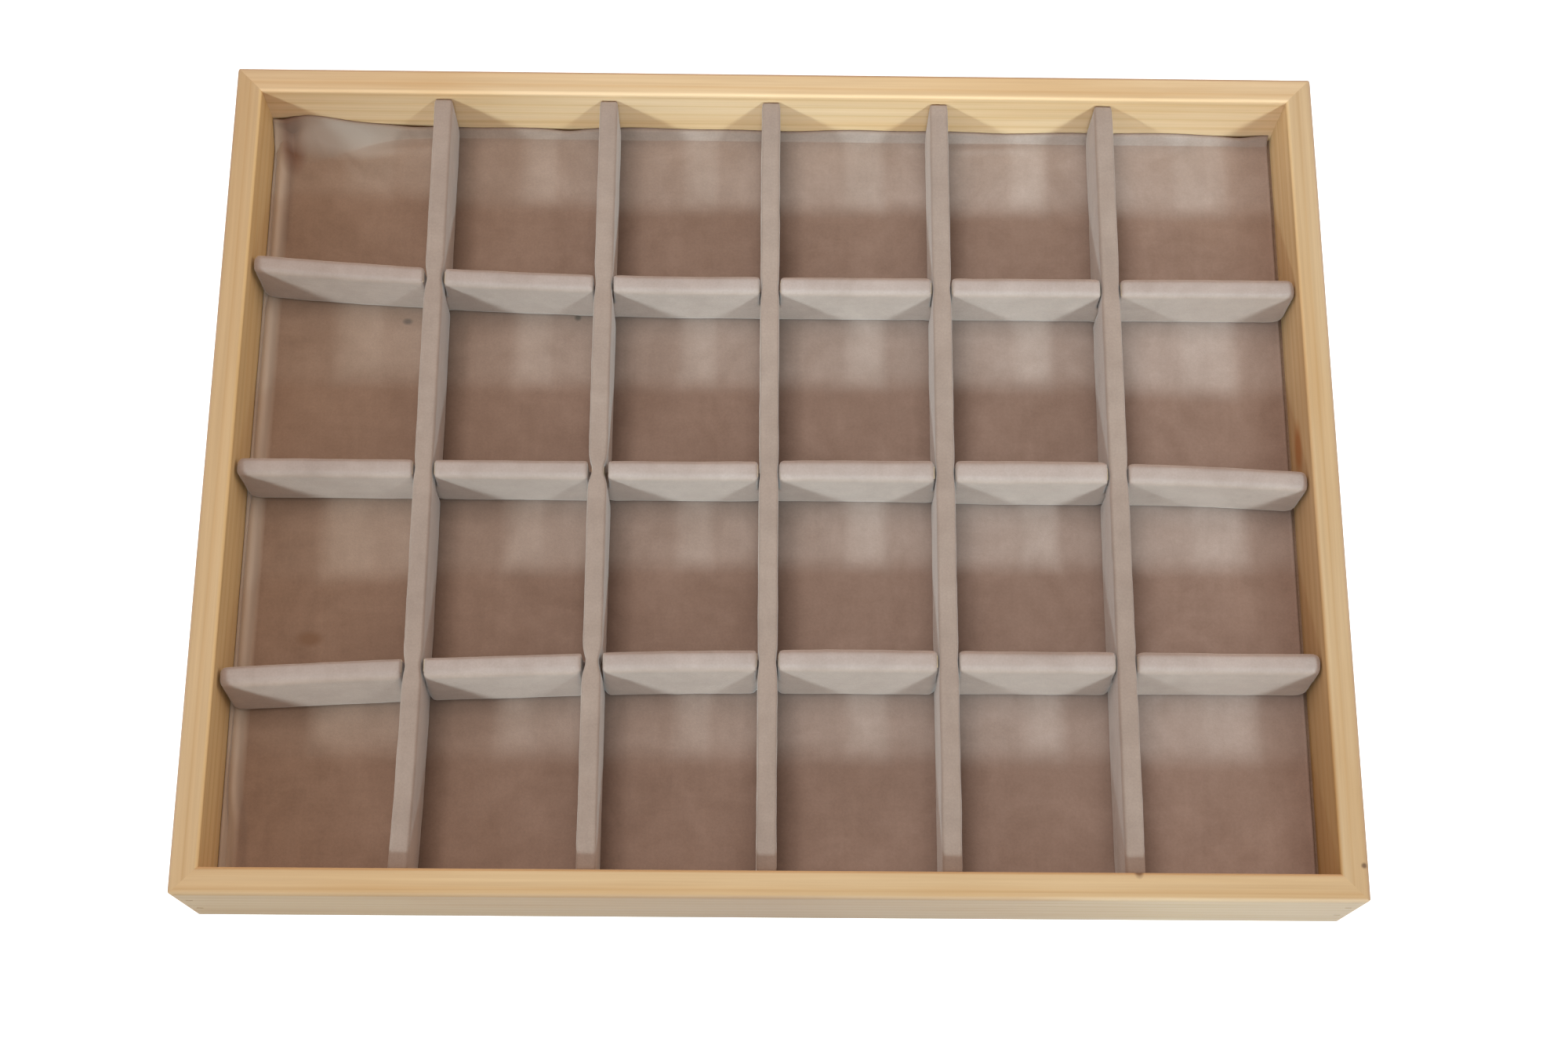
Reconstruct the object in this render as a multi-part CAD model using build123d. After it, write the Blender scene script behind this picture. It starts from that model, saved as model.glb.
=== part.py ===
from build123d import *
import os

# A jewelry display tray: four mitred pine rails round a lined floor, with a lift-out egg crate of
# velvet-covered dividers that makes 24 compartments. Lengths are in millimetres. X runs along the
# long side, Y from the front rail to the back one and Z up. The origin is the middle of the underside.

# Frame
tray_length = 350.0
tray_depth = 269.0
tray_height = 38.0
rail_thickness = 8.3
top_ease = 1.2
foot_ease = 0.5
corner_ease = 1.6

# Base panel, held in a groove round the rails
base_lift = 3.5
base_thickness = 4.0
groove_depth = 4.0
groove_play = 0.2
panel_edge_play = 0.5

# Brads through the mitres: flat wire with a small head, set below the face
brad_width = 1.2
brad_depth = 1.0
brad_head = 2.0
brad_head_height = 0.8
brad_length = 18.0
brad_point = 2.0
brad_set = 0.4
brad_from_foot = 13.0
brad_from_rim = 11.0

# Floor
pad_thickness = 3.2
lining_thickness = 0.7
lining_lip = 3.0
lining_cove = 2.5

# Dividers
core_thickness = 3.8
cover_thickness = 1.1
cover_roll = 1.8
cover_end_round = 2.3
cover_foot_round = 4.0
core_foot_nip = 2.0
divider_below_rim = 3.9
divider_float = 0.3
slot_clearance = 0.3
lap_clearance = 0.15
long_count = 5
long_pitch = 53.9
cross_count = 3
cross_pitch = 61.4
cross_end_play = 0.8
long_end_play = 0.7
crate_shift_x = -0.5
crate_shift_y = -0.4
middle_offset = -0.9

# The thin strips are not quite straight: where each bend starts, and how far it carries the end
back_bend_start = -25.0
back_bend_shift = 6.2
middle_bend_start = 95.0
middle_bend_shift = -2.2
front_bend_start = 5.0
front_bend_shift = -5.8
left_bend_start = -60.0
left_bend_shift = -1.2

# Levels and inner sizes that follow from the values above
inner_length = tray_length - 2 * rail_thickness
inner_depth = tray_depth - 2 * rail_thickness
base_top = base_lift + base_thickness
pad_top = base_top + pad_thickness
floor_level = pad_top + lining_thickness
divider_thickness = core_thickness + 2 * cover_thickness
divider_foot = floor_level + divider_float
divider_top = tray_height - divider_below_rim
divider_height = divider_top - divider_foot
divider_middle = (divider_foot + divider_top) / 2
slot_width = divider_thickness + 2 * slot_clearance
cross_length = inner_length - 2 * (lining_thickness + cross_end_play)
long_length = inner_depth - 2 * (lining_thickness + long_end_play)
tool_reach = 2 * tray_height


def upright_box(length, depth, bottom, top):
    """A plain box centred on the Z axis between two heights."""
    centre = Pos(0, 0, (bottom + top) / 2)
    return centre * Box(length, depth, top - bottom)


# Frame


def rail_section():
    """Section of a rail, outer face at 0 and inner face at rail_thickness, with its groove."""
    stick = Pos(rail_thickness / 2, tray_height / 2) * Rectangle(rail_thickness, tray_height)
    corners = stick.vertices().group_by(Axis.Y)
    stick = fillet(corners[-1], top_ease)
    stick = fillet(stick.vertices().group_by(Axis.Y)[0], foot_ease)
    groove_height = base_thickness + groove_play
    groove_place = Pos(rail_thickness - groove_depth / 2, base_lift + groove_height / 2)
    return stick - groove_place * Rectangle(groove_depth, groove_height)


def mitred_rail(outer_length, outer_distance):
    """A rail along X on the front side, its ends cut at 45 degrees and its outer corners eased."""
    start = Plane(
        origin=(-outer_length / 2, -outer_distance, 0), x_dir=(0, 1, 0), z_dir=(1, 0, 0)
    )
    stick = extrude(start * rail_section(), outer_length)
    half = outer_length / 2
    inner_half = half - rail_thickness
    plan = Polyline(
        (-half, -outer_distance),
        (half, -outer_distance),
        (inner_half, rail_thickness - outer_distance),
        (-inner_half, rail_thickness - outer_distance),
        close=True,
    )
    mitres = extrude(make_face(plan), tray_height)
    eased = extrude(RectangleRounded(outer_length, 2 * outer_distance, corner_ease), tray_height)
    return stick & mitres & eased


def corner_brad(height):
    """A nail along +Y from its head, with a chisel point, placed for the front left corner."""
    face = tray_depth / 2 - brad_set
    shoulder = face - brad_head_height
    tip = face - brad_length
    outline = Polyline(
        (-brad_head / 2, -face),
        (brad_head / 2, -face),
        (brad_head / 2, -shoulder),
        (brad_width / 2, -shoulder),
        (brad_width / 2, -tip - brad_point),
        (0, -tip),
        (-brad_width / 2, -tip - brad_point),
        (-brad_width / 2, -shoulder),
        (-brad_head / 2, -shoulder),
        close=True,
    )
    flat = extrude(make_face(outline), brad_depth / 2, both=True)
    return Pos(rail_thickness / 2 - tray_length / 2, 0, height) * flat


def brad_hole(height):
    """The hole that a set brad leaves: the nail itself, and its head's way in from the face."""
    way_in = Pos(rail_thickness / 2 - tray_length / 2, -tray_depth / 2, height)
    return corner_brad(height) + way_in * Box(brad_head, 2 * brad_set, brad_depth)


def at_four_corners(pieces):
    """The pieces at the front left corner, and their mirror images at the other three."""
    front = pieces + [mirror(piece, Plane.YZ) for piece in pieces]
    return front + [mirror(piece, Plane.XZ) for piece in front]


def frame_parts():
    """The four rails with their nail holes, and the nails as one group."""
    front = mitred_rail(tray_length, tray_depth / 2)
    side = Rot(0, 0, -90) * mitred_rail(tray_depth, tray_length / 2)
    rails = {
        "front_rail": front,
        "back_rail": mirror(front, Plane.XZ),
        "left_rail": side,
        "right_rail": mirror(side, Plane.YZ),
    }
    heights = (brad_from_foot, tray_height - brad_from_rim)
    holes = at_four_corners([brad_hole(height) for height in heights])
    parts = {name: rail - holes for name, rail in rails.items()}
    brads = at_four_corners([corner_brad(height) for height in heights])
    parts["corner_brads"] = Compound(children=brads)
    return parts


# Floor


def base_panel():
    """Plywood sheet whose edge stands in the groove."""
    reach = 2 * (groove_depth - panel_edge_play)
    return upright_box(inner_length + reach, inner_depth + reach, base_lift, base_top)


def floor_pad():
    """Board under the lining, from wall to wall."""
    return upright_box(inner_length, inner_depth, base_top, pad_top)


def floor_lining():
    """Velvet over the pad, turned up the walls in a cove that is mitred at the corners."""
    cloth = upright_box(inner_length, inner_depth, pad_top, floor_level + lining_lip)
    clear_length = inner_length - 2 * lining_thickness
    clear_depth = inner_depth - 2 * lining_thickness
    hollow = upright_box(clear_length, clear_depth, floor_level, tray_height)
    foot = hollow.edges().group_by(Axis.Z)[0]
    return cloth - fillet(foot, lining_cove)


# Dividers


def centre_line(straight_end, bend_start, bent_end):
    """Plan line of a divider: straight at first, then one arc that leaves it without a kink."""
    straight = Line(straight_end, bend_start)
    if abs((bent_end - bend_start).cross(straight % 1).Z) < 1e-6:
        return Line(straight_end, bent_end)
    return straight + TangentArc(bend_start, bent_end, tangent=straight % 1)


def pitched_place(number, count, pitch):
    """Where a divider stands in its row, evenly spaced but for the hand-marked middle one."""
    middle = (count - 1) / 2
    return (number - middle) * pitch + (middle_offset if number == middle else 0.0)


def cross_lines():
    """Plan lines of the cross dividers, from the front one to the back one."""
    left = crate_shift_x - cross_length / 2
    right = crate_shift_x + cross_length / 2
    bends = {
        0: (right, front_bend_start, left, front_bend_shift),
        cross_count - 1: (right, back_bend_start, left, back_bend_shift),
    }
    middle = (left, middle_bend_start, right, middle_bend_shift)
    lines = []
    for number in range(cross_count):
        near, bend, far, shift = bends.get(number, middle)
        y = crate_shift_y + pitched_place(number, cross_count, cross_pitch)
        lines.append(centre_line(Vector(near, y), Vector(bend, y), Vector(far, y + shift)))
    return lines


def long_lines():
    """Plan lines of the long dividers, from the left one to the right one."""
    lines = []
    for number in range(long_count):
        x = crate_shift_x + pitched_place(number, long_count, long_pitch)
        shift = left_bend_shift if number == 0 else 0.0
        back = Vector(x, crate_shift_y + long_length / 2)
        front = Vector(x + shift, crate_shift_y - long_length / 2)
        lines.append(centre_line(back, Vector(x, left_bend_start), front))
    return lines


def side_trim(outline):
    """What keeps a divider within this side view of it."""
    return extrude(Plane.XZ * outline, tool_reach, both=True)


def board(line, place, length):
    """The stiff board inside a divider, its two foot corners nipped off."""
    outline = Rectangle(length - 2 * cover_thickness, divider_height - 2 * cover_thickness)
    outline = chamfer(outline.vertices().group_by(Axis.Y)[0], core_foot_nip)
    full = Pos(0, 0, divider_foot) * extrude(trace(line, core_thickness), divider_height)
    return full & (place * side_trim(outline))


def wrapped_board(line, place, length):
    """A covered divider from outside: corners round in plan, top rolled, foot clear of the cove."""
    plan = trace(line, divider_thickness)
    tips = (line @ 0, line @ 1)
    corners = [
        corner
        for corner in plan.vertices()
        if min((Vector(corner) - tip).length for tip in tips) < divider_thickness
    ]
    rounded = fillet(corners, cover_end_round)
    block = Pos(0, 0, divider_foot) * extrude(rounded, divider_height)
    rolled = fillet(block.faces().sort_by(Axis.Z)[-1].edges(), cover_roll)
    outline = Rectangle(length, divider_height)
    outline = fillet(outline.vertices().group_by(Axis.Y)[0], cover_foot_round)
    return rolled & (place * side_trim(outline))


def slot_cut(line, bottom, top):
    """What a strip on this line needs cleared away to drop in, between two heights."""
    return Pos(0, 0, bottom) * extrude(trace(line, slot_width), top - bottom)


def one_divider(name, line, place, length, slots):
    """The stiff core and the velvet cover of one divider, both cut by the same slots."""
    core = board(line, place, length)
    wrapped = wrapped_board(line, place, length)
    return {f"{name}_core": core - slots, f"{name}_cover": wrapped - core - slots}


def divider_parts():
    """Core and cover of each divider, slotted so that the long ones drop over the cross ones."""
    crosses = cross_lines()
    longs = long_lines()
    top_slots = [slot_cut(line, divider_middle - lap_clearance, tray_height) for line in longs]
    foot_slots = [slot_cut(line, 0, divider_middle + lap_clearance) for line in crosses]
    parts = {}
    for number, line in enumerate(crosses, start=1):
        y = (line @ 0).Y
        place = Pos(crate_shift_x, y, divider_middle)
        parts.update(one_divider(f"cross_divider_{number}", line, place, cross_length, top_slots))
    for number, line in enumerate(longs, start=1):
        x = (line @ 0).X
        place = Pos(x, crate_shift_y, divider_middle) * Rot(0, 0, 90)
        parts.update(one_divider(f"long_divider_{number}", line, place, long_length, foot_slots))
    return parts


os.makedirs("parts", exist_ok=True)
nodes = {
    **frame_parts(),
    "base_panel": base_panel(),
    "floor_pad": floor_pad(),
    "floor_lining": floor_lining(),
    **divider_parts(),
}
for name, shape in nodes.items():
    export_step(shape, f"parts/{name}.step")
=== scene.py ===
import math
from collections import namedtuple

import bpy
from mathutils import Euler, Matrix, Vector


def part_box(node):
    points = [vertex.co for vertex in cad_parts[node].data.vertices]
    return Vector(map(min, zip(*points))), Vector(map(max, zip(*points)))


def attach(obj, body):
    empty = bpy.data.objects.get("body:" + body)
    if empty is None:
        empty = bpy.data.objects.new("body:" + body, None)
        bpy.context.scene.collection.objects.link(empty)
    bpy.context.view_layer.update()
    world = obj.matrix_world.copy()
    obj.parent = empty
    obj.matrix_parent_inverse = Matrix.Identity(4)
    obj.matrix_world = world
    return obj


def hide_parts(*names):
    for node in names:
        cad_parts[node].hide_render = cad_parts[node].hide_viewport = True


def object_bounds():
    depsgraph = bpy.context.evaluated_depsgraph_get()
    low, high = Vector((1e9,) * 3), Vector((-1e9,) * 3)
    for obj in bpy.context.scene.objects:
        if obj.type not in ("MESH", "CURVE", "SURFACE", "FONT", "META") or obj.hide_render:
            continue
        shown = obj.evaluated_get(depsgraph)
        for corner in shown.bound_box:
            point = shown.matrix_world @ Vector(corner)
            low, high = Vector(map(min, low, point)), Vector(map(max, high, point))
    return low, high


# A jewelry display tray: pine rails round a velvet floor, and a lift-out crate of velvet-covered
# dividers. Lengths are in metres. X runs along the long side, Y from front to back and Z up.

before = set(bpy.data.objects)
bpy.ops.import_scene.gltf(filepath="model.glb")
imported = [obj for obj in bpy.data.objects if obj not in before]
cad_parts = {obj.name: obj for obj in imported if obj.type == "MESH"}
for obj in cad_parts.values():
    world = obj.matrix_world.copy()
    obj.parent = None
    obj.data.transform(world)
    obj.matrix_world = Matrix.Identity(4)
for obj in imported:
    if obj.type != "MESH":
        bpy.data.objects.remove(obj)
cad_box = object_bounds()

# A length below this counts as nothing
hair = 0.00001

# Dividers: thickness once wrapped, velvet round the board, and how the wrapped edges are rounded
divider_thickness = 0.006
velvet_thickness = 0.001
foot_round = 0.0040
foot_round_steps = 6
edge_roll = 0.0018
edge_roll_steps = 4
sharp_edge = math.radians(50)

# How much further the padded ends reach than the plain covers do, and how the long dividers' front
# ends are rounded
left_end = 0.0002
right_end = 0.0015
front_end = 0.0011
back_end = 0.0015
front_end_round = 0.0007
front_end_steps = 3

# Slots: width, how far each goes past the middle, depth of the soft mouth, and its gape at a foot
slot_width = 0.0063
slot_lap = 0.0001
mouth_depth = 0.0024
foot_gape = 0.0004

# Each step of a mouth's flare: its share of the mouth's depth and its share of the gape
mouth_flare = [(0.55, 0.18), (0.30, 0.32), (0.15, 0.50)]

# Meshes of the sleeves: distance between points, how they are softened, how unevenly they are
# wrapped, and how far along a long divider a pinch is felt
mesh_step = 0.00085
soften_share = 0.5
soften_rounds = 3
wrap_unevenness = 0.00035
wrap_cloud = 0.012
pinch_reach = 0.0032

# Where each strip that isn't straight starts to bend, which of its ends is carried, and which way
Bend = namedtuple("Bend", "start end way")
bends = {
    "cross_divider_1": Bend(0.005, -1, -1),
    "cross_divider_2": Bend(0.095, 1, -1),
    "cross_divider_3": Bend(-0.025, -1, 1),
    "long_divider_1": Bend(-0.060, -1, -1),
}
cross_names = [f"cross_divider_{number}" for number in (1, 2, 3)]
long_names = [f"long_divider_{number}" for number in (1, 2, 3, 4, 5)]

# At each crossing, from left to right: how far the slot's mouth gapes on the left and on the right
# of the long divider, and the share of its width by which the long divider is drawn in
Crossing = namedtuple("Crossing", "left right pinch")
crossings = {
    "cross_divider_1": [
        Crossing(0.0006, 0.0010, 0.20),
        Crossing(0.0005, 0.0006, 0.34),
        Crossing(0.0010, 0.0004, 0.14),
        Crossing(0.0013, 0.0003, 0.06),
        Crossing(0.0008, 0.0006, 0.08),
    ],
    "cross_divider_2": [
        Crossing(0.0006, 0.0008, 0.10),
        Crossing(0.0004, 0.0006, 0.42),
        Crossing(0.0010, 0.0002, 0.08),
        Crossing(0.0013, 0.0005, 0.10),
        Crossing(0.0016, 0.0002, 0.12),
    ],
    "cross_divider_3": [
        Crossing(0.0003, 0.0013, 0.22),
        Crossing(0.0004, 0.0004, 0.16),
        Crossing(0.0005, 0.0005, 0.12),
        Crossing(0.0010, 0.0006, 0.10),
        Crossing(0.0005, 0.0004, 0.08),
    ],
}

# Padding of the cross dividers: at each x, how much further the velvet stands out at the back, at the
# front, and at the foot of the front, where it hangs loose. It fades out near the crossings.
Padding = namedtuple("Padding", "x back front foot")
paddings = {
    "cross_divider_1": [
        Padding(-0.1400, -0.0008, 0.0009, 0.0029),
        Padding(-0.0800, -0.0007, 0.0008, 0.0027),
        Padding(-0.0280, 0.0000, 0.0002, 0.0028),
        Padding(0.0250, 0.0007, 0.0, 0.0029),
        Padding(0.0800, 0.0005, 0.0, 0.0026),
        Padding(0.1400, 0.0004, 0.0, 0.0022),
    ],
    "cross_divider_2": [
        Padding(-0.0800, 0.0, 0.0, 0.0006),
        Padding(-0.0280, 0.0002, 0.0, 0.0006),
        Padding(0.0250, 0.0010, 0.0, 0.0002),
        Padding(0.0800, 0.0013, 0.0, 0.0009),
        Padding(0.1400, 0.0006, 0.0, 0.0003),
    ],
    "cross_divider_3": [
        Padding(-0.0800, 0.0005, -0.0004, 0.0),
        Padding(-0.0280, 0.0005, -0.0002, 0.0),
        Padding(0.0250, 0.0006, -0.0002, 0.0),
        Padding(0.0800, 0.0008, -0.0004, 0.0),
        Padding(0.1400, 0.0011, -0.0006, 0.0),
    ],
}
flat_padding = [Padding(0.0, 0.0, 0.0, 0.0)]
padding_gap = 0.0033

# Lining: clearance to the walls, how high the cloth climbs each wall and how far in it starts to
lining_gap = 0.00015
# The gap at the right wall is wider, so that the pad's painted dark shows there as a shaded line
right_gap = 0.0011
cloth_thickness = 0.0007
Edge = namedtuple("Edge", "climb reach")
left_edge = Edge(0.0016, 0.0022)
right_edge = Edge(0.0002, 0.0010)
back_edge = Edge(0.0035, 0.0025)
front_edge = Edge(0.0028, 0.0020)
climb_curve = 1.3

# Mesh of the lining: its squares each way, how much closer together they are near the walls, and the
# height of its unevenness and the size of its clouds
lining_squares = (240, 186)
crowding = 0.75
floor_unevenness = 0.0005
floor_cloud = 0.020

# The two waves in the edges' climb: the share of it that each adds, and the length of one radian
edge_waves = [(0.16, 0.013), (0.10, 0.0057)]

# Bunched cloth in the back left corner: how much more it climbs and reaches, and over what length
bunch_place = -0.1560
bunch_climb = 1.9
bunch_reach = 3.9
bunch_fall = 0.019

# The crease in the bunched cloth: its place, half width and depth, how far it comes out of the
# corner, and over what distance from the wall it opens
crease_place = -0.1604
crease_width = 0.0031
crease_share = 0.62
crease_reach = 0.0170
crease_start = 0.0026

# The roll of loose cloth along the left wall: distance from the wall, half width and height at each y
Roll = namedtuple("Roll", "y off half_width height")
left_roll = [
    Roll(-0.1262, 0.0056, 0.0022, 0.0030),
    Roll(-0.1120, 0.0050, 0.0019, 0.0026),
    Roll(-0.0960, 0.0028, 0.0015, 0.0022),
    Roll(-0.0750, 0.0022, 0.0013, 0.0016),
    Roll(-0.0660, 0.0020, 0.0012, 0.0006),
    Roll(-0.0560, 0.0024, 0.0014, 0.0018),
    Roll(-0.0300, 0.0026, 0.0016, 0.0024),
    Roll(-0.0080, 0.0022, 0.0014, 0.0016),
    Roll(-0.0010, 0.0020, 0.0012, 0.0006),
    Roll(0.0080, 0.0022, 0.0014, 0.0018),
    Roll(0.0330, 0.0026, 0.0017, 0.0026),
    Roll(0.0590, 0.0024, 0.0015, 0.0018),
    Roll(0.0670, 0.0020, 0.0012, 0.0006),
    Roll(0.0750, 0.0026, 0.0016, 0.0020),
    Roll(0.0930, 0.0032, 0.0021, 0.0032),
    Roll(0.1100, 0.0034, 0.0024, 0.0036),
    Roll(0.1262, 0.0032, 0.0024, 0.0036),
]

# Folds of the lining: middle, direction in degrees, half length, half width and height of each
Fold = namedtuple("Fold", "x y turn half_length half_width height")
folds = [
    Fold(-0.1500, 0.1180, 120, 0.0080, 0.0016, 0.0009),
    Fold(-0.1430, 0.1150, 135, 0.0070, 0.0015, 0.0008),
    Fold(-0.1250, 0.1190, 5, 0.0120, 0.0016, 0.0005),
    Fold(0.0700, 0.1210, 2, 0.0160, 0.0013, 0.0004),
]

# Where the cut edge at the back wall curls away from the wood: middle and half length
curls = [(-0.1630, 0.0030), (-0.1200, 0.0070), (-0.0690, 0.0060), (0.1560, 0.0050)]
curl_width = 0.0008
curl_depth = 0.0016

# A tint that leaves a colour as it is
no_tint = (1.0, 1.0, 1.0)

# Velvet: the two shades of the blotches on the floor and on both kinds of divider, and the levels
# of noise at which the lower and the upper shade are full
floor_shades = ((0.285, 0.206, 0.168), (0.352, 0.264, 0.222))
# The dividers' velvet is the floor's, painted lighter on the cross dividers and darker on the long
# ones,
# as painted light and shade
cross_tones_painted_lighter = ((0.345, 0.255, 0.212), (0.402, 0.304, 0.257))
long_tones_painted_darker = ((0.262, 0.196, 0.166), (0.308, 0.235, 0.200))
velvet_range = (0.28, 0.72)

# Streaks of the pile along X and along Y, then its patches and its grain: noise scale and two tints
pile_tints = [
    ((60, 430, 430), (0.975, 0.975, 0.975), (1.015, 1.015, 1.015)),
    ((430, 60, 430), (0.970, 0.970, 0.970), (1.020, 1.020, 1.020)),
    ((150, 150, 150), (0.955, 0.945, 0.940), (1.030, 1.030, 1.030)),
    ((1500, 1500, 1500), (0.940, 0.940, 0.940), (1.040, 1.040, 1.040)),
]

# Painted light and shade on the velvets: an axis, and tints at shares of the way across the tray along
# it. On Z the way starts as far below the tray's foot as the tray is high. There the dividers' sides
# keep their tint up to the first share, and their tops have theirs from the second.
side_share = 0.93
top_share = 0.948
# The floor: painted shade towards the front and the left, painted light towards the right
floor_painted_light = [
    (
        "X",
        [
            (0.0, (0.89, 0.78, 0.66)),
            (0.3, (0.93, 0.89, 0.87)),
            (0.6, (1.03, 1.03, 1.05)),
            (1.0, (1.20, 1.22, 1.27)),
        ],
    ),
    ("Y", [(0.0, (0.98, 0.96, 0.96)), (1.0, (1.01, 1.01, 1.01))]),
]
# Cross dividers: painted shade at the left end, painted light at the right, cooler painted light on
# tops
cross_painted_light = [
    ("X", [(0.0, (0.93, 0.90, 0.87)), (0.35, no_tint), (1.0, (1.05, 1.05, 1.05))]),
    ("Z", [(side_share, (1.03, 1.0, 1.0)), (top_share, (0.91, 0.97, 1.06))]),
]
# Painted light on the sides of the three left long dividers, painted shade on the sides of the two
# right ones
left_side_painted_light = (1.18, 1.05, 0.96)
right_side_painted_shade = (0.93, 0.75, 0.67)

# Painted shade on the floor's velvet: tints beside the walls at shares of the way across, and at the
# feet of the long dividers: distance to the right of each divider's middle, and brightness there.
# That is raised to one power each for red, green and blue, so that it leans to brown.
painted_wall_shade = [
    (0.0, (0.9, 0.9, 0.9)),
    (0.93, no_tint),
    (0.965, (0.80, 0.76, 0.74)),
    (1.0, (0.7, 0.62, 0.6)),
]
painted_foot_shade = [(-0.0080, 1.0), (-0.0035, 0.86), (0.0035, 0.72), (0.0110, 1.0)]
brown_lean = (1.0, 1.1, 1.15)

# Marks: middle, reach each way and colour. On the floor: the roll along the left wall, painted paler
# as a highlight; the crease, painted dark as the shade in it; the fold beside it, painted pale as a
# highlight; two specks and a brown mark. The front rail has a speck, and the right rail has a
# knot-coloured patch and a speck.
Mark = namedtuple("Mark", "place size tint")
floor_marks_and_painted_light = [
    # Painted highlight on the roll along the left wall
    Mark((-0.1648, 0.0, 0.0130), (0.0044, 0.4, 0.0150), (0.47, 0.36, 0.285)),
    # Painted shade in the crease of the bunched cloth
    Mark((-0.1602, 0.1215, 0.0170), (0.0054, 0.0140, 0.0240), (0.165, 0.078, 0.048)),
    # Painted highlight on the fold beside the crease
    Mark((-0.1440, 0.1215, 0.0160), (0.0240, 0.0075, 0.0200), (0.340, 0.262, 0.218)),
    Mark((-0.1193, 0.0568, 0.0118), (0.0020, 0.0014, 0.0020), (0.15, 0.11, 0.09)),
    Mark((-0.0639, 0.0587, 0.0118), (0.0014, 0.0014, 0.0014), (0.13, 0.10, 0.08)),
    Mark((-0.1439, -0.0506, 0.0118), (0.0050, 0.0030, 0.0030), (0.22, 0.13, 0.085)),
]
front_marks = [Mark((0.1075, -0.1262, 0.0375), (0.0016, 0.0022, 0.0020), (0.22, 0.12, 0.06))]
right_marks = [
    Mark((0.1667, 0.0115, 0.0220), (0.0040, 0.0110, 0.0060), (0.46, 0.20, 0.07)),
    Mark((0.1736, -0.1238, 0.0380), (0.0011, 0.0011, 0.0011), (0.16, 0.09, 0.05)),
]
mark_softness = 0.6

# Pine: its colour over one year's growth, its slow drift in tone, and its fibres
year_of_growth = [
    (0.00, (0.585, 0.415, 0.235)),
    (0.40, (0.600, 0.435, 0.255)),
    (0.75, (0.585, 0.415, 0.235)),
    (0.93, (0.550, 0.370, 0.190)),
    (1.00, (0.585, 0.415, 0.235)),
]
drift_tints = [(0.32, (0.93, 0.86, 0.76)), (0.50, no_tint), (0.70, (1.03, 1.05, 1.10))]
drift_share = 0.8
fibre_tints = [(0.28, (0.91, 0.89, 0.86)), (0.66, (1.03, 1.03, 1.03))]

# Painted light and shade on the rails' outer and inner faces, as tints along the grain, and how far
# under each face they start and are full
outer_paint_depths = (0.0012, 0.0002)
inner_paint_depths = (0.0010, 0.0002)
# The front outer face: painted shade at its left and middle, painted light towards its right end
front_outer_painted_light_and_shade = [
    (0.0, (0.94, 0.87, 0.83)),
    (0.5, (0.76, 0.70, 0.78)),
    (0.7, (0.92, 0.88, 0.98)),
    (0.85, (1.18, 1.22, 1.44)),
    (1.0, (1.20, 1.24, 1.50)),
]
# The other outer faces, painted a little greyer as shade
plain_outer_painted_shade = [(0.0, (0.90, 0.86, 1.00)), (1.0, (0.90, 0.86, 1.00))]
# The inner faces, painted lighter as light; the right one's front part painted darker as shade
plain_inner_painted_light = [(0.0, (1.30, 1.24, 1.22)), (1.0, (1.30, 1.24, 1.22))]
left_inner_painted_light = [(0.0, (1.55, 1.62, 1.50)), (1.0, (1.62, 1.72, 1.62))]
right_inner_painted_light_and_shade = [(0.0, (1.02, 0.88, 0.64)), (0.45, (1.18, 1.08, 0.98)), (1.0, (1.60, 1.68, 1.66))]

# Each rail's wood: axis of the grain, how far its growth rings are moved, tone, painted light and
# shade on its outer and inner faces, and marks
Wood = namedtuple("Wood", "along pith tone outer inner marks")
woods = {
    "front": Wood(0, (1.0, 3.6, 7.1), (0.82, 0.77, 0.74), front_outer_painted_light_and_shade, plain_inner_painted_light, front_marks),
    "back": Wood(0, (4.0, -2.2, 5.3), (0.91, 0.88, 0.91), plain_outer_painted_shade, plain_inner_painted_light, []),
    "left": Wood(1, (4.4, 2.0, 6.2), (0.77, 0.71, 0.66), plain_outer_painted_shade, left_inner_painted_light, []),
    "right": Wood(1, (-3.1, 7.0, 6.6), (0.78, 0.75, 0.75), plain_outer_painted_shade, right_inner_painted_light_and_shade, right_marks),
}

# Sockets of Blender's Mix node that hold the factor and the two colours, and its colour output
mix_factor, mix_first, mix_second, mix_result = 0, 6, 7, 2

# Three soft round lights from the front: what each is aimed at, the direction from there to the
# light, watts, and the angle of its cone in degrees
key_colour = (0.70, 0.95, 1.03)
key_distance = 2.6
key_radius = 0.20
Key = namedtuple("Key", "name aim towards power cone")
keys = [
    Key("left_light", (-0.14, -0.09, 0.02), (-1.0, -1.6, 1.0), 480.0, 8.3),
    Key("right_light", (0.15, -0.01, 0.02), (0.65, -1.57, 1.0), 400.0, 8.8),
    Key("front_light", (0.05, 0.12, 0.02), (0.0, -1.57, 1.0), 140.0, 9.4),
]

# Two weak square panels, over the back left corner and to the right
Panel = namedtuple("Panel", "name place aim size power colour")
panels = [
    Panel("overhead_panel", (-0.20, 0.15, 1.0), (-0.20, 0.15, 0.0), 0.5, 3.8, (1.0, 0.92, 0.84)),
    Panel("side_panel", (1.0, 0.05, 0.45), (-0.16, 0.0, 0.02), 0.4, 2.4, (1.0, 0.90, 0.80)),
]

# The room's light: its strength, colours below and above, height where it is fully pale, and how it
# leans to the left and to the back
room_strength = 0.60
room_below = (0.25, 0.22, 0.19, 1.0)
room_above = (1.0, 0.88, 0.77, 1.0)
room_pale_from = 0.15
room_lean = (-0.30, 0.30, 0.0)

# The white sheet under the tray
backdrop_size = 8
backdrop_grey = 0.6
backdrop_glow = 0.8

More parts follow.
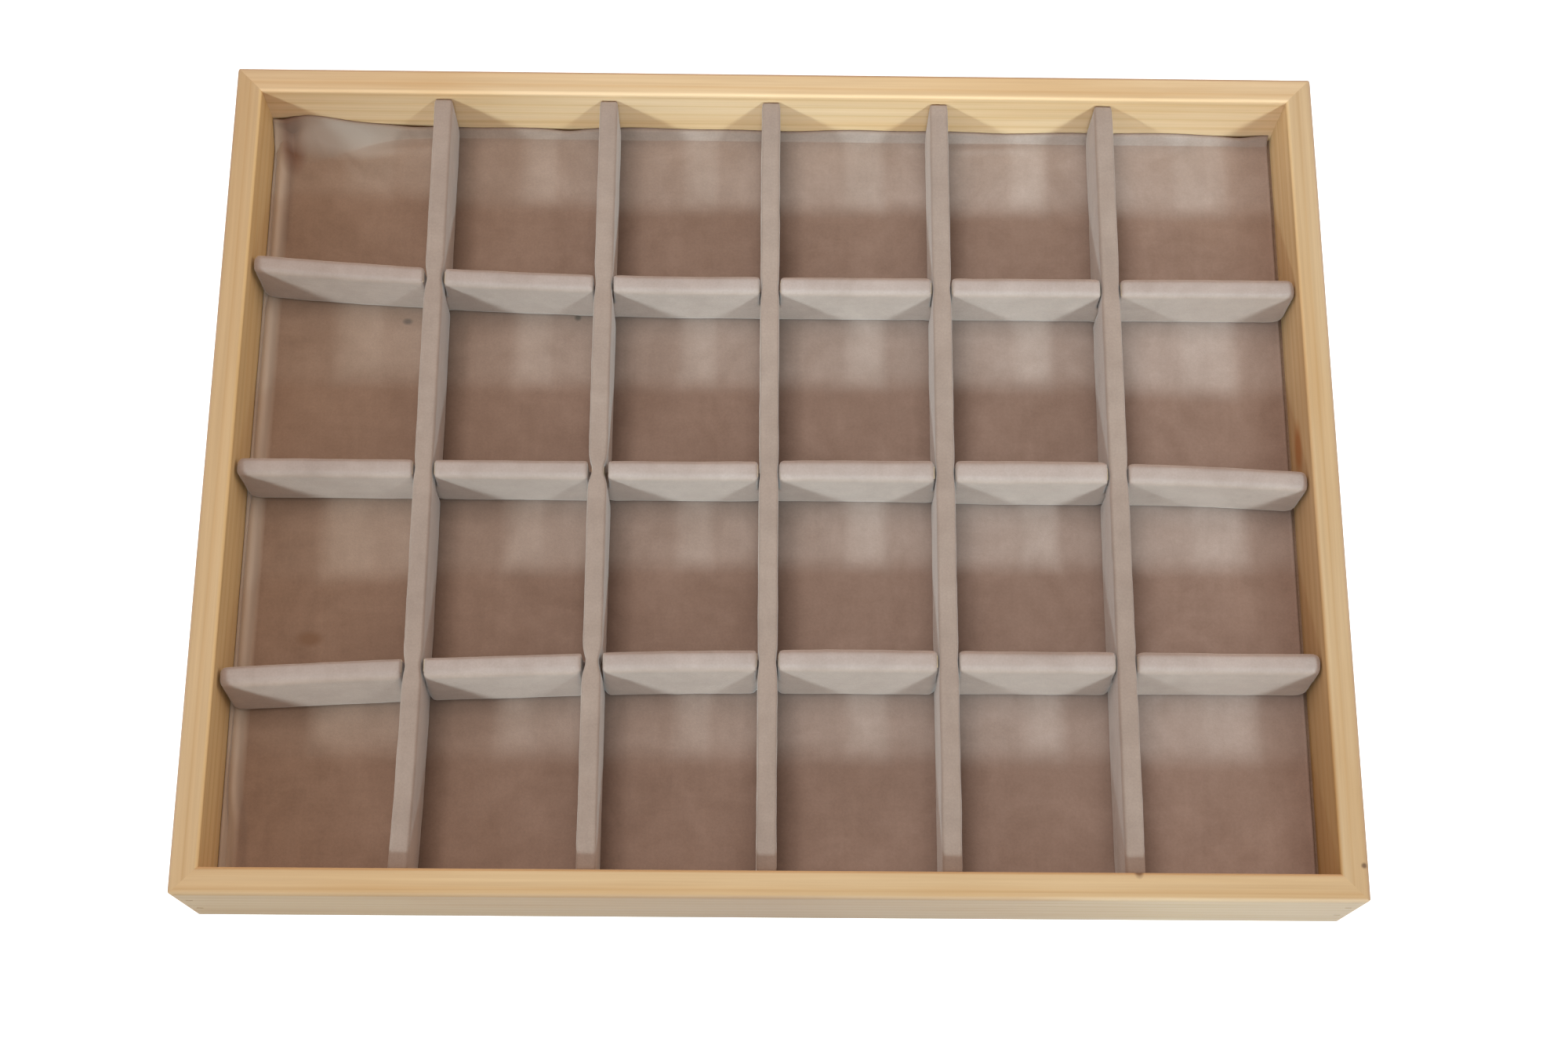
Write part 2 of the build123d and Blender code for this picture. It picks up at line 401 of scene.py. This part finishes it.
# Camera: lens and sensor in millimetres, place in metres and turn in degrees
lens = 53.407
sensor_width = 36.0
nearest = 0.01
eye_place = (-0.0060, -0.2405, 0.71394)
eye_turn = (18.1753, -0.8644, 0.2297)


# Working with operators


def new_box(name, low, high):
    """A box primitive between two corners, the only thing selected."""
    bpy.ops.object.select_all(action="DESELECT")
    low = Vector(low)
    high = Vector(high)
    bpy.ops.mesh.primitive_cube_add(size=1, location=(low + high) / 2, scale=high - low)
    box = bpy.context.active_object
    box.name = name
    box.data.name = name
    bpy.ops.object.transform_apply(location=True, rotation=True, scale=True)
    return box


def apply_modifier(piece, kind, **settings):
    """Adds a modifier with these settings to the piece and applies it."""
    bpy.context.view_layer.objects.active = piece
    bpy.ops.object.modifier_add(type=kind)
    modifier = piece.modifiers[-1]
    for setting, value in settings.items():
        setattr(modifier, setting, value)
    bpy.ops.object.modifier_apply(modifier=modifier.name)


def edit_selected(piece, part, test):
    """Opens the piece in edit mode with the edges or faces selected that pass the test."""
    bpy.context.view_layer.objects.active = piece
    bpy.ops.object.mode_set(mode="EDIT")
    bpy.ops.mesh.select_mode(type=part)
    bpy.ops.mesh.select_all(action="DESELECT")
    bpy.ops.object.mode_set(mode="OBJECT")
    for element in piece.data.edges if part == "EDGE" else piece.data.polygons:
        element.select = test(element)
    bpy.ops.object.mode_set(mode="EDIT")


def smooth_all_over(piece):
    """Smooth shading on every face."""
    bpy.ops.object.select_all(action="DESELECT")
    piece.select_set(True)
    bpy.context.view_layer.objects.active = piece
    bpy.ops.object.shade_smooth()


def clouds(name, size):
    """A cloudy displacement texture."""
    texture = bpy.data.textures.new(name, type="CLOUDS")
    texture.noise_scale = size
    texture.noise_depth = 2
    return texture


uneven_wrap = clouds("uneven_wrap", wrap_cloud)
uneven_floor = clouds("uneven_floor", floor_cloud)


# Curves that shape the cloth


def bell(distance, half_width, power=2):
    """1 in the middle, falling off smoothly on both sides."""
    return math.exp(-((distance / half_width) ** power))


def between_rows(rows, place):
    """Values at a place, blended smoothly between the two rows round it. A row's place comes first."""
    places = [row[0] for row in rows]
    after = next((number for number, other in enumerate(places) if other > place), len(places))
    if after in (0, len(places)):
        return rows[min(after, len(places) - 1)][1:]
    near, far = rows[after - 1], rows[after]
    share = (place - near[0]) / (far[0] - near[0])
    share = share * share * (3 - 2 * share)
    return [start + (end - start) * share for start, end in zip(near[1:], far[1:])]


# Plan lines of the dividers, read from the frame

Plan = namedtuple("Plan", "axis low high foot top straight bend run shift")


def read_plan(name):
    """How a divider runs: its axis, ends, foot and top, and where its middle line stands."""
    low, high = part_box(f"{name}_cover")
    axis = 0 if name in cross_names else 1
    half = divider_thickness / 2
    bend = bends.get(name, Bend(0.0, 1, 1))
    side_low = low[1 - axis] + half
    side_high = high[1 - axis] - half
    straight = side_low if bend.way > 0 else side_high
    shift = (side_high - side_low) * bend.way
    end = high[axis] if bend.end > 0 else low[axis]
    return Plan(axis, low[axis], high[axis], low.z, high.z, straight, bend, end - bend.start, shift)


def sideways(plan, place):
    """Where the middle line of the divider stands at this place along it."""
    passed = (place - plan.bend.start) * plan.bend.end
    if passed <= 0 or abs(plan.shift) < hair:
        return plan.straight
    radius = (plan.run**2 + plan.shift**2) / (2 * abs(plan.shift))
    off = radius - math.sqrt(radius**2 - passed**2)
    return plan.straight + math.copysign(off, plan.shift)


def slope(plan, place):
    """Angle of the middle line at this place, from the axis it runs on."""
    step = 0.001
    return math.atan2(sideways(plan, place + step) - sideways(plan, place - step), 2 * step)


# Velvet sleeves on the dividers


def rolled_block(name, plan):
    """The wrapped strip before its slots, lying along X: round foot corners and rolled edges."""
    half = divider_thickness / 2
    low = plan.low - (left_end if plan.axis == 0 else front_end)
    high = plan.high + (right_end if plan.axis == 0 else back_end)
    block = new_box(name, (low, -half, plan.foot), (high, half, plan.top))
    points = block.data.vertices

    def ends_the_foot(edge):
        first, second = (points[index].co for index in edge.vertices)
        return abs(first.y - second.y) > half and max(first.z, second.z) < plan.foot + half

    def is_at_the_front(edge):
        return max(points[index].co.x for index in edge.vertices) < low + edge_roll

    edit_selected(block, "EDGE", ends_the_foot)
    bpy.ops.mesh.bevel(offset=foot_round, segments=foot_round_steps, affect="EDGES")
    bpy.ops.object.mode_set(mode="OBJECT")
    if plan.axis == 1:
        edit_selected(block, "EDGE", is_at_the_front)
        bpy.ops.mesh.bevel(offset=front_end_round, segments=front_end_steps, affect="EDGES")
        bpy.ops.object.mode_set(mode="OBJECT")
    apply_modifier(block, "BEVEL", width=edge_roll, segments=edge_roll_steps, angle_limit=sharp_edge)
    return block


def slot_cutter(place, turn, closed_end, mouth, gape_left, gape_right):
    """A block that clears one slot, its mouth flared where the velvet rolls over the edge."""
    reach = divider_thickness
    way = math.copysign(1, mouth - closed_end)
    flare_start = mouth - way * mouth_depth
    low = (-slot_width / 2, -reach, min(closed_end, flare_start))
    high = (slot_width / 2, reach, max(closed_end, flare_start))
    cutter = new_box("slot_cutter", low, high)
    edit_selected(cutter, "FACE", lambda face: face.normal.z * way > 0.5)
    width = slot_width
    for share, opening in mouth_flare:
        gape = opening * (gape_left + gape_right)
        lean = opening * (gape_right - gape_left) / 2
        bpy.ops.mesh.extrude_region_move(
            TRANSFORM_OT_translate={"value": (lean, 0, way * share * mouth_depth)}
        )
        bpy.ops.transform.resize(value=((width + gape) / width, 1, 1))
        width += gape
    bpy.ops.mesh.extrude_region_move(TRANSFORM_OT_translate={"value": (0, 0, way * reach)})
    bpy.ops.object.mode_set(mode="OBJECT")
    cutter.location = (place, 0, 0)
    cutter.rotation_euler = (0, 0, turn)
    bpy.ops.object.transform_apply(location=True, rotation=True, scale=False)
    return cutter


def cut_slots(block, cutters):
    """Takes the joined cutters out of the block."""
    bpy.ops.object.select_all(action="DESELECT")
    for cutter in cutters:
        cutter.select_set(True)
    bpy.context.view_layer.objects.active = cutters[0]
    bpy.ops.object.join()
    apply_modifier(block, "BOOLEAN", object=cutters[0], operation="DIFFERENCE", solver="EXACT")
    bpy.data.objects.remove(cutters[0])


def padded(plan, rows, crossing_places, along, across, up):
    """The distance across of a point of the sleeve, with its padding added."""
    half = divider_thickness / 2
    back, front, foot = between_rows(rows, along)
    lowness = min(1.0, max(0.0, (plan.top - up) / (plan.top - plan.foot)))
    stands_out = back if across > 0 else front + foot * lowness
    for place in crossing_places:
        stands_out *= 1 - bell(along - place, padding_gap, power=4)
    return across * (1 + stands_out / half)


def lay_on_line(sleeve, plan, pinches, rows, crossing_places):
    """Bends the sleeve onto its plan line, padded, and drawn in at the pinches, (place, share)."""
    for vertex in sleeve.data.vertices:
        along, across, up = vertex.co
        across = padded(plan, rows, crossing_places, along, across, up)
        for place, share in pinches:
            across *= 1 - share * bell(along - place, pinch_reach)
        middle = sideways(plan, along)
        if plan.axis == 0:
            vertex.co = (along, middle + across, up)
        else:
            vertex.co = (middle - across, along, up)


def velvet_sleeve(name, plan, cutters, pinches, crossing_places, body, velvet):
    """The velvet round one divider, as a sleeve with a wall, in place of its CAD cover."""
    sleeve = rolled_block(f"{name}_velvet", plan)
    cut_slots(sleeve, cutters)
    apply_modifier(sleeve, "REMESH", mode="VOXEL", voxel_size=mesh_step, use_smooth_shade=True)
    apply_modifier(sleeve, "SMOOTH", factor=soften_share, iterations=soften_rounds)
    lay_on_line(sleeve, plan, pinches, paddings.get(name, flat_padding), crossing_places)
    apply_modifier(
        sleeve, "DISPLACE", texture=uneven_wrap, strength=wrap_unevenness, mid_level=0.5
    )
    apply_modifier(sleeve, "SOLIDIFY", thickness=velvet_thickness, offset=-1)
    smooth_all_over(sleeve)
    sleeve.data.materials.clear()
    sleeve.data.materials.append(velvet)
    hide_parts(f"{name}_cover")
    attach(sleeve, body)


def cross_sleeves(plans, middle, velvets):
    """Sleeves of the cross dividers, slotted from above down to the middle of their height."""
    for name in cross_names:
        plan = plans[name]
        cutters = []
        places = []
        for other, crossing in zip(long_names, crossings[name]):
            place = sideways(plans[other], plan.straight)
            places.append(place)
            turn = -slope(plans[other], plan.straight)
            gapes = (crossing.left, crossing.right)
            cutters.append(slot_cutter(place, turn, middle - slot_lap, plan.top, *gapes))
        velvet_sleeve(name, plan, cutters, [], places, "cross_dividers", velvets[name])


def long_sleeves(plans, middle, velvets):
    """Sleeves of the long dividers, slotted from below and pinched at the crossings."""
    for number, name in enumerate(long_names):
        plan = plans[name]
        cutters = []
        pinches = []
        for other in cross_names:
            place = sideways(plans[other], plan.straight)
            turn = -slope(plans[other], plan.straight)
            gapes = (foot_gape, foot_gape)
            cutters.append(slot_cutter(place, turn, middle + slot_lap, plan.foot, *gapes))
            pinches.append((place, crossings[other][number].pinch))
        velvet_sleeve(name, plan, cutters, pinches, [], name, velvets[name])


def divider_sleeves(velvets):
    """All eight sleeves, each in the velvet that is listed under its divider's name."""
    plans = {name: read_plan(name) for name in cross_names + long_names}
    middle = (plans[cross_names[0]].foot + plans[cross_names[0]].top) / 2
    cross_sleeves(plans, middle, velvets)
    long_sleeves(plans, middle, velvets)


# Velvet lining of the floor


def bunching(x):
    """How much of the back left corner's bunched cloth there is at x."""
    return 1.0 if x < bunch_place else bell(x - bunch_place, bunch_fall)


def crease(x, from_back):
    """What share of its height the bunched cloth keeps here, beside and in its crease."""
    narrowing = max(0.0, 1 - from_back / crease_reach)
    if narrowing == 0.0:
        return 1.0
    opening = min(1.0, from_back / crease_start) ** 2
    depth = crease_share * opening * narrowing**0.5
    return 1 - depth * bell(x - crease_place, crease_width * narrowing)


def rolled_cloth(from_left, y):
    """Height of the roll of loose cloth along the left wall."""
    off, half_width, height = between_rows(left_roll, y)
    return height * bell(from_left - off, half_width)


def waver(place, seed):
    """A gentle unevenness along an edge, about 1."""
    return 1 + sum(
        share * math.sin(place / length + number * seed)
        for number, (share, length) in enumerate(edge_waves, start=1)
    )


def slope_up(distance, climb, reach):
    """Height of cloth that leaves the floor at reach from a wall and climbs it."""
    if distance >= reach:
        return 0.0
    return climb * (1 - distance / reach) ** climb_curve


def cloth_height(x, y, walls):
    """Height of the lining over the pad."""
    left, right, front, back = walls
    bunched = bunching(x)
    at_left = slope_up(x - left, left_edge.climb * waver(y, 1), left_edge.reach)
    at_left = max(at_left, rolled_cloth(x - left, y))
    at_right = slope_up(right - x, right_edge.climb * waver(y, 2), right_edge.reach)
    at_front = slope_up(y - front, front_edge.climb * waver(x, 3), front_edge.reach)
    at_back = slope_up(
        back - y,
        back_edge.climb * waver(x, 5) * (1 + bunch_climb * bunched),
        back_edge.reach * (1 + bunch_reach * bunched),
    )
    at_back *= crease(x, back - y)
    height = max(at_left, at_right, at_front, at_back)
    for fold in folds:
        turn = math.radians(fold.turn)
        along = (x - fold.x) * math.cos(turn) + (y - fold.y) * math.sin(turn)
        across = (y - fold.y) * math.cos(turn) - (x - fold.x) * math.sin(turn)
        height += fold.height * bell(along, fold.half_length) * bell(across, fold.half_width)
    return height


def crowded(place, low, high):
    """Moves an even row of points so that they stand closer together near its two ends."""
    share = (place - low) / (high - low)
    return low + (high - low) * (share - crowding * math.sin(2 * math.pi * share) / (2 * math.pi))


def flat_cloth(left, right, front, back):
    """A grid between the walls, at the origin's height."""
    bpy.ops.object.select_all(action="DESELECT")
    bpy.ops.mesh.primitive_grid_add(
        x_subdivisions=lining_squares[0],
        y_subdivisions=lining_squares[1],
        size=1,
        location=((left + right) / 2, (front + back) / 2, 0),
    )
    cloth = bpy.context.active_object
    cloth.name = "floor_velvet"
    cloth.data.name = "floor_velvet"
    cloth.scale = (right - left, back - front, 1)
    bpy.ops.object.transform_apply(location=True, rotation=True, scale=True)
    return cloth


def lay_on_pad(cloth, pad_top, walls):
    """Lays the cloth on the pad and up the walls, and gives the places of the points on its rim."""
    left, right, front, back = walls
    rim = {}
    for vertex in cloth.data.vertices:
        x = crowded(vertex.co.x, left, right)
        y = crowded(vertex.co.y, front, back)
        on_the_rim = min(x - left, right - x, y - front, back - y) < hair
        height = cloth_height(x, y, walls)
        curl = sum(bell(x - middle, half_length) for middle, half_length in curls)
        y -= curl_width * curl * bell(back - y, curl_depth)
        vertex.co = (x, y, pad_top + height)
        if on_the_rim:
            rim[vertex.index] = (x, y)
    return rim


def stand_rim_upright(lining, rim):
    """Puts both faces of the cloth straight above each other along its cut edge."""
    points = lining.data.vertices
    other_face = len(points) // 2
    for index, (x, y) in rim.items():
        for point in (points[index], points[index + other_face]):
            point.co.x = x
            point.co.y = y


def velvet_lining(velvet):
    """The floor's velvet, turned up at the four walls, with the folds of a hand-laid cloth."""
    pad_low, pad_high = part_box("floor_pad")
    left = pad_low.x + lining_gap
    right = pad_high.x - right_gap
    front = pad_low.y + lining_gap
    back = pad_high.y - lining_gap
    lining = flat_cloth(left, right, front, back)
    rim = lay_on_pad(lining, pad_high.z, (left, right, front, back))
    apply_modifier(
        lining,
        "DISPLACE",
        texture=uneven_floor,
        strength=floor_unevenness,
        mid_level=0.0,
        direction="Z",
    )
    apply_modifier(lining, "SOLIDIFY", thickness=cloth_thickness, offset=1)
    stand_rim_upright(lining, rim)
    smooth_all_over(lining)
    lining.data.materials.append(velvet)
    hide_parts("floor_lining")
    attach(lining, "tray")


# Materials


def grey(level):
    """A neutral colour."""
    return (level, level, level)


class Recipe:
    """A material under construction: its node tree with short ways to add and join nodes."""

    def __init__(self, name):
        self.material = bpy.data.materials.new(name)
        self.material.use_nodes = True
        self.tree = self.material.node_tree
        self.shader = self.tree.nodes["Principled BSDF"]
        self.place = self.node("TexCoord").outputs["Object"]

    def feed(self, socket, value):
        """Joins a socket to another one, or sets it to a number, a vector or an opaque colour."""
        if isinstance(value, bpy.types.NodeSocket):
            self.tree.links.new(value, socket)
        elif socket.type == "RGBA":
            socket.default_value = (*value, 1.0)
        else:
            socket.default_value = value

    def node(self, kind, **values):
        """A node of this kind, with sockets fed or properties set by name."""
        made = self.tree.nodes.new(f"ShaderNode{kind}")
        for name, value in values.items():
            socket = made.inputs.get(name.replace("_", " ").title())
            if socket is None:
                setattr(made, name, value)
            else:
                self.feed(socket, value)
        return made

    def noise(self, scale, detail=2.0, roughness=0.5, distortion=0.0):
        """Noise on coordinates stretched by a different scale each way."""
        vector = self.node("Mapping", vector=self.place, scale=scale).outputs["Vector"]
        return self.node(
            "TexNoise",
            vector=vector,
            scale=1.0,
            detail=detail,
            roughness=roughness,
            distortion=distortion,
        ).outputs["Fac"]

    def rings(self, scale, pith, axis):
        """Growth rings round a line along this axis, from 0 to 1 over each year."""
        mapping = self.node("Mapping", vector=self.place, scale=scale, location=pith)
        return self.node(
            "TexWave",
            wave_type="RINGS",
            rings_direction=axis,
            wave_profile="SAW",
            vector=mapping.outputs["Vector"],
            scale=1.0,
            distortion=3.0,
            detail=2.0,
            detail_scale=0.9,
        ).outputs["Fac"]

    def along(self, axis):
        """How far along this axis the surface is."""
        return self.node("SeparateXYZ", vector=self.place).outputs[axis]

    def from_middle(self, axis):
        """Distance from the tray's middle plane across this axis."""
        return self.node("Math", operation="ABSOLUTE", value=self.along(axis)).outputs["Value"]

    def between(self, value, low, high):
        """0 below low, 1 above high and a straight rise in between."""
        made = self.node("MapRange", value=value, from_min=low, from_max=high)
        return made.outputs["Result"]

    def ramp(self, factor, stops):
        """A colour ramp through (position, colour) stops."""
        made = self.node("ValToRGB", fac=factor)
        elements = made.color_ramp.elements
        while len(elements) < len(stops):
            elements.new(0.5)
        for element, (position, colour) in zip(elements, stops):
            element.position = position
            element.color = (*colour, 1.0)
        return made.outputs["Color"]

    def across_tray(self, axis, stops):
        """A colour ramp along this axis, as far below the origin as the tray reaches above it."""
        reach = cad_box[1]["XYZ".index(axis)]
        return self.ramp(self.between(self.along(axis), -reach, reach), stops)

    def mix(self, factor, first, second, blend="MIX"):
        """Two colours mixed; the factor and either colour may be a socket or a value."""
        made = self.node("Mix", data_type="RGBA", blend_type=blend)
        self.feed(made.inputs[mix_factor], factor)
        self.feed(made.inputs[mix_first], first)
        self.feed(made.inputs[mix_second], second)
        return made.outputs[mix_result]

    def tinted(self, colour, tint, share=1.0):
        """A colour multiplied by a tint, by this share."""
        return self.mix(share, colour, tint, "MULTIPLY")

    def marked(self, colour, marks):
        """A colour with oval marks on it, each full in its middle and soft at its edge."""
        for mark in marks:
            scale = [1 / reach for reach in mark.size]
            moved = [-centre * share for centre, share in zip(mark.place, scale)]
            mapping = self.node("Mapping", vector=self.place, scale=scale, location=moved)
            oval = self.node(
                "TexGradient", gradient_type="SPHERICAL", vector=mapping.outputs["Vector"]
            )
            spot = self.between(oval.outputs["Fac"], 0.0, mark_softness)
            colour = self.mix(spot, colour, mark.tint)
        return colour

    def bump(self, height, strength, distance):
        """A bump from a height."""
        made = self.node("Bump", strength=strength, distance=distance, height=height)
        return made.outputs["Normal"]

    def finish(self, **sockets):
        """Feeds the shader's own sockets, named with underscores for their spaces."""
        for name, value in sockets.items():
            self.feed(self.shader.inputs[name.replace("_", " ")], value)
        return self.material


def velvet_material(name, shades, painted_light_tints, marks=()):
    """Short-pile velvet: soft blotches, streaks both ways, patches and grain, painted light and shade,
    and marks.
    """
    recipe = Recipe(name)
    blotches = recipe.noise((48, 48, 48), detail=4.0, roughness=0.6, distortion=0.6)
    colour = recipe.ramp(blotches, list(zip(velvet_range, shades)))
    for scale, low, high in pile_tints:
        tint = recipe.ramp(recipe.noise(scale), list(zip(velvet_range, (low, high))))
        colour = recipe.tinted(colour, tint)
    for axis, stops in painted_light_tints:
        colour = recipe.tinted(colour, recipe.across_tray(axis, stops))
    pile = recipe.noise((2300, 2300, 2300), detail=3.0, roughness=0.7)
    return recipe.finish(
        Base_Color=recipe.marked(colour, marks),
        Normal=recipe.bump(pile, 0.25, 0.0003),
        Roughness=0.9,
        Sheen_Weight=0.5,
        Sheen_Roughness=0.45,
        Sheen_Tint=grey(0.93),
        Specular_IOR_Level=0.12,
    )


def painted_feet_shade_stops():
    """Ramp stops along X: painted shade beside the walls and at the feet of the long dividers."""
    stops = list(painted_wall_shade)
    reach = cad_box[1].x
    for name in long_names:
        middle = read_plan(name).straight
        for off, level in painted_foot_shade:
            shade = tuple(level**power for power in brown_lean)
            stops.append(((middle + off + reach) / (2 * reach), shade))
    return sorted(stops)


def floor_velvet():
    """The lining's velvet, with painted light and shade across the tray and at the dividers' feet, and
    marks.
    """
    painted_light_tints = floor_painted_light + [("X", painted_feet_shade_stops())]
    return velvet_material("taupe_velvet", floor_shades, painted_light_tints, floor_marks_and_painted_light)


def divider_velvets():
    """The velvet of each divider. The long ones' sides have painted light on the left and painted
    shade on the right.
    """
    cross_velvet = velvet_material("taupe_velvet_cross", cross_tones_painted_lighter, cross_painted_light)
    velvets = dict.fromkeys(cross_names, cross_velvet)
    sides = (
        ("left", long_names[:3], left_side_painted_light),
        ("right", long_names[3:], right_side_painted_shade),
    )
    for side, names, tint in sides:
        painted_light_tints = [("Z", [(side_share, tint), (top_share, no_tint)])]
        long_velvet = velvet_material(f"taupe_velvet_long_{side}", long_tones_painted_darker, painted_light_tints)
        velvets.update(dict.fromkeys(names, long_velvet))
    return velvets


def grain_scale(along, across_grain, along_grain):
    """Noise scale each way in wood whose grain runs along this axis."""
    scale = [across_grain] * 3
    scale[along] = along_grain
    return scale


def pine_material(name, wood):
    """Pine of one rail, whose inner face is where the pad ends: rings, drift, fibres, painted light
    and shade on its faces, and marks.
    """
    recipe = Recipe(name)
    along = "XYZ"[wood.along]
    rings = recipe.rings(grain_scale(wood.along, 85.0, 2.2), wood.pith, along)
    colour = recipe.ramp(rings, year_of_growth)
    drift = recipe.noise(grain_scale(wood.along, 60.0, 7.0), detail=3.0, distortion=0.5)
    colour = recipe.tinted(colour, recipe.ramp(drift, drift_tints), drift_share)
    fibres = recipe.noise(grain_scale(wood.along, 800.0, 14.0), detail=3.0, roughness=0.6)
    colour = recipe.tinted(colour, recipe.ramp(fibres, fibre_tints))
    colour = recipe.tinted(colour, wood.tone)
    across = 1 - wood.along
    outside = cad_box[1][across]
    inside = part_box("floor_pad")[1][across]
    distance = recipe.from_middle("XYZ"[across])
    on_outer = recipe.between(distance, *(outside - depth for depth in outer_paint_depths))
    on_inner = recipe.between(distance, *(inside + depth for depth in inner_paint_depths))
    # Painted light and shade on the outer and inner faces
    for skin, stops in ((on_outer, wood.outer), (on_inner, wood.inner)):
        painted_light_colour = recipe.tinted(colour, recipe.across_tray(along, stops))
        colour = recipe.mix(skin, colour, painted_light_colour)
    return recipe.finish(
        Base_Color=recipe.marked(colour, wood.marks),
        Normal=recipe.bump(fibres, 0.10, 0.0003),
        Roughness=0.55,
        Specular_IOR_Level=0.35,
    )


def board_material(name, dark, light):
    """Pressed board: a speckle of fibres."""
    recipe = Recipe(name)
    speckle = recipe.noise((900, 900, 900), detail=4.0, roughness=0.7)
    return recipe.finish(
        Base_Color=recipe.ramp(speckle, [(0.3, dark), (0.7, light)]),
        Normal=recipe.bump(speckle, 0.2, 0.0003),
        Roughness=0.9,
    )


def plywood_material():
    """Birch face veneer with its grain along X."""
    recipe = Recipe("birch_ply")
    veneer = recipe.noise((6, 120, 400), detail=4.0, roughness=0.6, distortion=0.5)
    return recipe.finish(
        Base_Color=recipe.ramp(veneer, [(0.3, (0.60, 0.43, 0.26)), (0.7, (0.74, 0.58, 0.39))]),
        Normal=recipe.bump(veneer, 0.15, 0.0003),
        Roughness=0.7,
    )


def nail_material():
    """Bright wire with a brushed head."""
    recipe = Recipe("bright_wire")
    brushed = recipe.noise((900, 4000, 900))
    return recipe.finish(
        Base_Color=recipe.ramp(brushed, [(0.3, grey(0.34)), (0.7, grey(0.52))]),
        Metallic=1.0,
        Roughness=0.38,
    )


def give(material, *nodes):
    """Puts a material on CAD nodes, in every slot that they have."""
    for node in nodes:
        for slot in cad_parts[node].material_slots:
            slot.material = material


def dress_frame_pieces():
    """The finish of every piece that is shown with its CAD shape."""
    for side, wood in woods.items():
        give(pine_material(f"pine_{side}", wood), f"{side}_rail")
    give(plywood_material(), "base_panel")
    # The pad's dark brown is painted shade: it shows in the gap at the right wall as a shaded line
    give(board_material("pad_board_painted_dark", (0.20, 0.125, 0.085), (0.27, 0.175, 0.125)), "floor_pad")
    strips = [f"{name}_core" for name in cross_names + long_names]
    give(board_material("strip_board", (0.33, 0.24, 0.15), (0.50, 0.39, 0.27)), *strips)
    give(nail_material(), "corner_brads")


# Stage


def white_floor():
    """A white sheet under the tray that glows a little, as an overexposed backdrop does."""
    bpy.ops.object.select_all(action="DESELECT")
    bpy.ops.mesh.primitive_plane_add(size=backdrop_size, location=(0, 0, cad_box[0].z))
    floor = bpy.context.active_object
    floor.name = "white_floor"
    bpy.ops.object.transform_apply(location=True, rotation=True, scale=True)
    backdrop = Recipe("backdrop").finish(
        Base_Color=grey(backdrop_grey),
        Roughness=1.0,
        Specular_IOR_Level=0.0,
        Emission_Color=grey(1.0),
        Emission_Strength=backdrop_glow,
    )
    floor.data.materials.append(backdrop)
    floor.visible_diffuse = False


def hang_light(data, colour, power, place, towards):
    """Puts a light of this colour and power in the scene, which shines from this direction."""
    data.color = colour
    data.energy = power
    light = bpy.data.objects.new(data.name, data)
    light.location = place
    light.rotation_euler = towards.to_track_quat("Z", "Y").to_euler()
    bpy.context.scene.collection.objects.link(light)


def soft_spot(key):
    """A round soft light that fades out at its cone's edge."""
    towards = Vector(key.towards).normalized()
    data = bpy.data.lights.new(key.name, type="SPOT")
    data.shadow_soft_size = key_radius
    data.spot_size = math.radians(key.cone)
    data.spot_blend = 1.0
    hang_light(data, key_colour, key.power, Vector(key.aim) + towards * key_distance, towards)


def soft_panel(panel):
    """A square soft panel that faces what it is aimed at."""
    data = bpy.data.lights.new(panel.name, type="AREA")
    data.shape = "SQUARE"
    data.size = panel.size
    towards = Vector(panel.place) - Vector(panel.aim)
    hang_light(data, panel.colour, panel.power, panel.place, towards)


def pale_room():
    """Light from all round: paler from above, the left and the back, dim below the tray's level."""
    world = bpy.data.worlds.new("pale_room")
    bpy.context.scene.world = world
    world.use_nodes = True
    nodes = world.node_tree.nodes
    join = world.node_tree.links.new
    background = nodes["Background"]
    background.inputs["Strength"].default_value = room_strength
    direction = nodes.new("ShaderNodeTexCoord").outputs["Generated"]
    split = nodes.new("ShaderNodeSeparateXYZ")
    join(direction, split.inputs["Vector"])
    height = nodes.new("ShaderNodeValToRGB")
    join(split.outputs["Z"], height.inputs["Fac"])
    below, above = height.color_ramp.elements
    below.color = room_below
    above.position = room_pale_from
    above.color = room_above
    lean = nodes.new("ShaderNodeVectorMath")
    lean.operation = "DOT_PRODUCT"
    join(direction, lean.inputs[0])
    lean.inputs[1].default_value = room_lean
    share = nodes.new("ShaderNodeMath")
    join(lean.outputs["Value"], share.inputs[0])
    share.inputs[1].default_value = 1.0
    scaled = nodes.new("ShaderNodeVectorMath")
    scaled.operation = "SCALE"
    join(height.outputs["Color"], scaled.inputs["Vector"])
    join(share.outputs["Value"], scaled.inputs["Scale"])
    join(scaled.outputs["Vector"], background.inputs["Color"])


def lights():
    """Three soft lights from the front, two soft panels and a pale surround."""
    for key in keys:
        soft_spot(key)
    for panel in panels:
        soft_panel(panel)
    pale_room()


def camera():
    """Looks down on the tray from over its front edge, as the photograph does."""
    data = bpy.data.cameras.new("camera")
    data.sensor_width = sensor_width
    data.lens = lens
    data.clip_start = nearest
    eye = bpy.data.objects.new("camera", data)
    eye.location = eye_place
    eye.rotation_euler = Euler([math.radians(angle) for angle in eye_turn])
    bpy.context.scene.collection.objects.link(eye)
    bpy.context.scene.camera = eye


camera()
lights()
white_floor()
dress_frame_pieces()
velvet_lining(floor_velvet())
divider_sleeves(divider_velvets())

settings = bpy.context.scene.view_settings
settings.view_transform = "Standard"
settings.look = "None"
